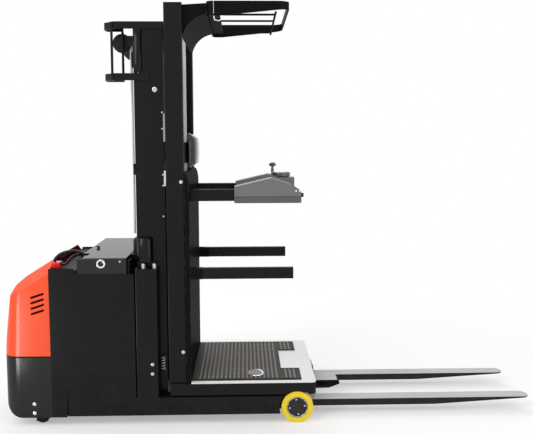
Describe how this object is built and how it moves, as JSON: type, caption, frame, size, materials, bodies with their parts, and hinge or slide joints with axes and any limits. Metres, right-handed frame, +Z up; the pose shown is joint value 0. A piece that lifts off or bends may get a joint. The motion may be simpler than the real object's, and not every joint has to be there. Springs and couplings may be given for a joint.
{
  "type": "order picker truck",
  "caption": "Battery order picker with a two-stage mast, a rising operator cab with overhead guard, consoles, side gates and forks, over base legs and a steered drive wheel.",
  "frame": {"origin": "on the floor under the middle of the truck's box, at rest with the cab lowered", "axes": "+X towards the fork tips, +Y to the left of an operator who faces the forks, +Z up"},
  "size_m": [2.98, 0.88, 2.3],
  "materials": {
    "black_paint": "satin powder coat",
    "mast_paint": "satin paint on rolled steel",
    "black_shell": "satin moulding",
    "orange_hood": "gloss moulding",
    "battery_case": "matte",
    "cable_rubber": "matte",
    "red_plastic": "satin",
    "cast_metal": "painted casting",
    "drive_tyre": "polyurethane tread",
    "zinc_steel": "zinc plate",
    "castor_rubber": "matte",
    "yellow_tyre": "satin polyurethane",
    "hub_paint": "gloss paint",
    "deck_steel": "satin plate",
    "mat_rubber": "ribbed",
    "chrome_trim": "polished",
    "console_plastic": "fine grain",
    "control_plastic": "gloss",
    "cushion_vinyl": "grained vinyl",
    "fork_paint": "satin paint, polished on top"
  },
  "bodies": {
    "chassis": {"base_leg_left": "black_paint", "base_leg_right": "black_paint", "chassis_frame": "black_paint", "lower_shell": "black_shell", "drive_hood": "orange_hood", "box_panels": "black_paint", "battery": "battery_case", "mast_rails": "mast_paint", "mast_feet": "black_paint", "hose_cage": "black_paint", "lift_barrels": "black_paint", "battery_leads": "cable_rubber", "battery_connector": "red_plastic"},
    "lid": {"battery_lid": "black_paint"},
    "drive_steer": {"drive_yoke": "cast_metal", "drive_motor": "cast_metal"},
    "drive_wheel": {"drive_tyre": "drive_tyre"},
    "inner_mast": {"inner_mast": "mast_paint", "hose_pulleys": "cast_metal"},
    "cab": {"cab_frame": "black_paint", "cab_carriage": "black_paint", "cab_housing": "black_paint", "deck_frame": "black_paint", "deck_plate": "deck_steel", "deck_mat": "mat_rubber", "foot_switch": "chrome_trim", "overhead_guard": "black_paint", "console_beams": "black_paint", "console_left": "console_plastic", "console_right": "console_plastic", "steering_wheel": "control_plastic", "control_knob": "control_plastic", "back_cushion": "cushion_vinyl", "fork_left": "fork_paint", "fork_right": "fork_paint", "pallet_clamp": "fork_paint"},
    "castor_swivel_left": {"castor_fork_left": "zinc_steel"},
    "castor_roll_left": {"castor_wheel_left": "castor_rubber"},
    "load_wheel_left": {"load_tyre_left": "yellow_tyre", "load_hub_left": "hub_paint"},
    "gate_left": {"gate_left": "black_paint"},
    "castor_swivel_right": {"castor_fork_right": "zinc_steel"},
    "castor_roll_right": {"castor_wheel_right": "castor_rubber"},
    "load_wheel_right": {"load_tyre_right": "yellow_tyre", "load_hub_right": "hub_paint"},
    "gate_right": {"gate_right": "black_paint"}
  },
  "joints": [
    {"name": "lid_hinge", "type": "hinge", "parent": "chassis", "child": "lid", "pos_m": [-0.7965, 0, 0.926], "axis": [0, 1, 0], "range_deg": [0, 85]},
    {"name": "drive_steering", "type": "hinge", "parent": "chassis", "child": "drive_steer", "pos_m": [-1.28, 0, 0.3], "axis": [0, 0, 1], "range_deg": [-90, 90]},
    {"name": "drive_roll", "type": "hinge", "parent": "drive_steer", "child": "drive_wheel", "pos_m": [-1.28, 0, 0.115], "axis": [0, 1, 0], "continuous": true},
    {"name": "mast_lift", "type": "slide", "parent": "chassis", "child": "inner_mast", "axis": [0, 0, 1], "range_m": [0, 1.45]},
    {"name": "cab_lift", "type": "slide", "parent": "inner_mast", "child": "cab", "axis": [0, 0, 1], "range_m": [0, 1.45]},
    {"name": "castor_turn_left", "type": "hinge", "parent": "chassis", "child": "castor_swivel_left", "pos_m": [-1.276, 0.368, 0.118], "axis": [0, 0, 1], "continuous": true},
    {"name": "castor_spin_left", "type": "hinge", "parent": "castor_swivel_left", "child": "castor_roll_left", "pos_m": [-1.294, 0.368, 0.0375], "axis": [0, 1, 0], "continuous": true},
    {"name": "load_spin_left", "type": "hinge", "parent": "chassis", "child": "load_wheel_left", "pos_m": [0.125, 0.401, 0.089], "axis": [0, 1, 0], "continuous": true},
    {"name": "gate_hinge_left", "type": "hinge", "parent": "cab", "child": "gate_left", "pos_m": [-0.418, 0.41, 0.843], "axis": [0, -1, 0], "range_deg": [0, 90]},
    {"name": "castor_turn_right", "type": "hinge", "parent": "chassis", "child": "castor_swivel_right", "pos_m": [-1.276, -0.368, 0.118], "axis": [0, 0, 1], "continuous": true},
    {"name": "castor_spin_right", "type": "hinge", "parent": "castor_swivel_right", "child": "castor_roll_right", "pos_m": [-1.294, -0.368, 0.0375], "axis": [0, 1, 0], "continuous": true},
    {"name": "load_spin_right", "type": "hinge", "parent": "chassis", "child": "load_wheel_right", "pos_m": [0.125, -0.401, 0.089], "axis": [0, 1, 0], "continuous": true},
    {"name": "gate_hinge_right", "type": "hinge", "parent": "cab", "child": "gate_right", "pos_m": [-0.418, -0.41, 0.843], "axis": [0, -1, 0], "range_deg": [0, 90]}
  ],
  "couplings": [
    {"joint": "cab_lift", "follows": "mast_lift", "ratio": 1}
  ]
}
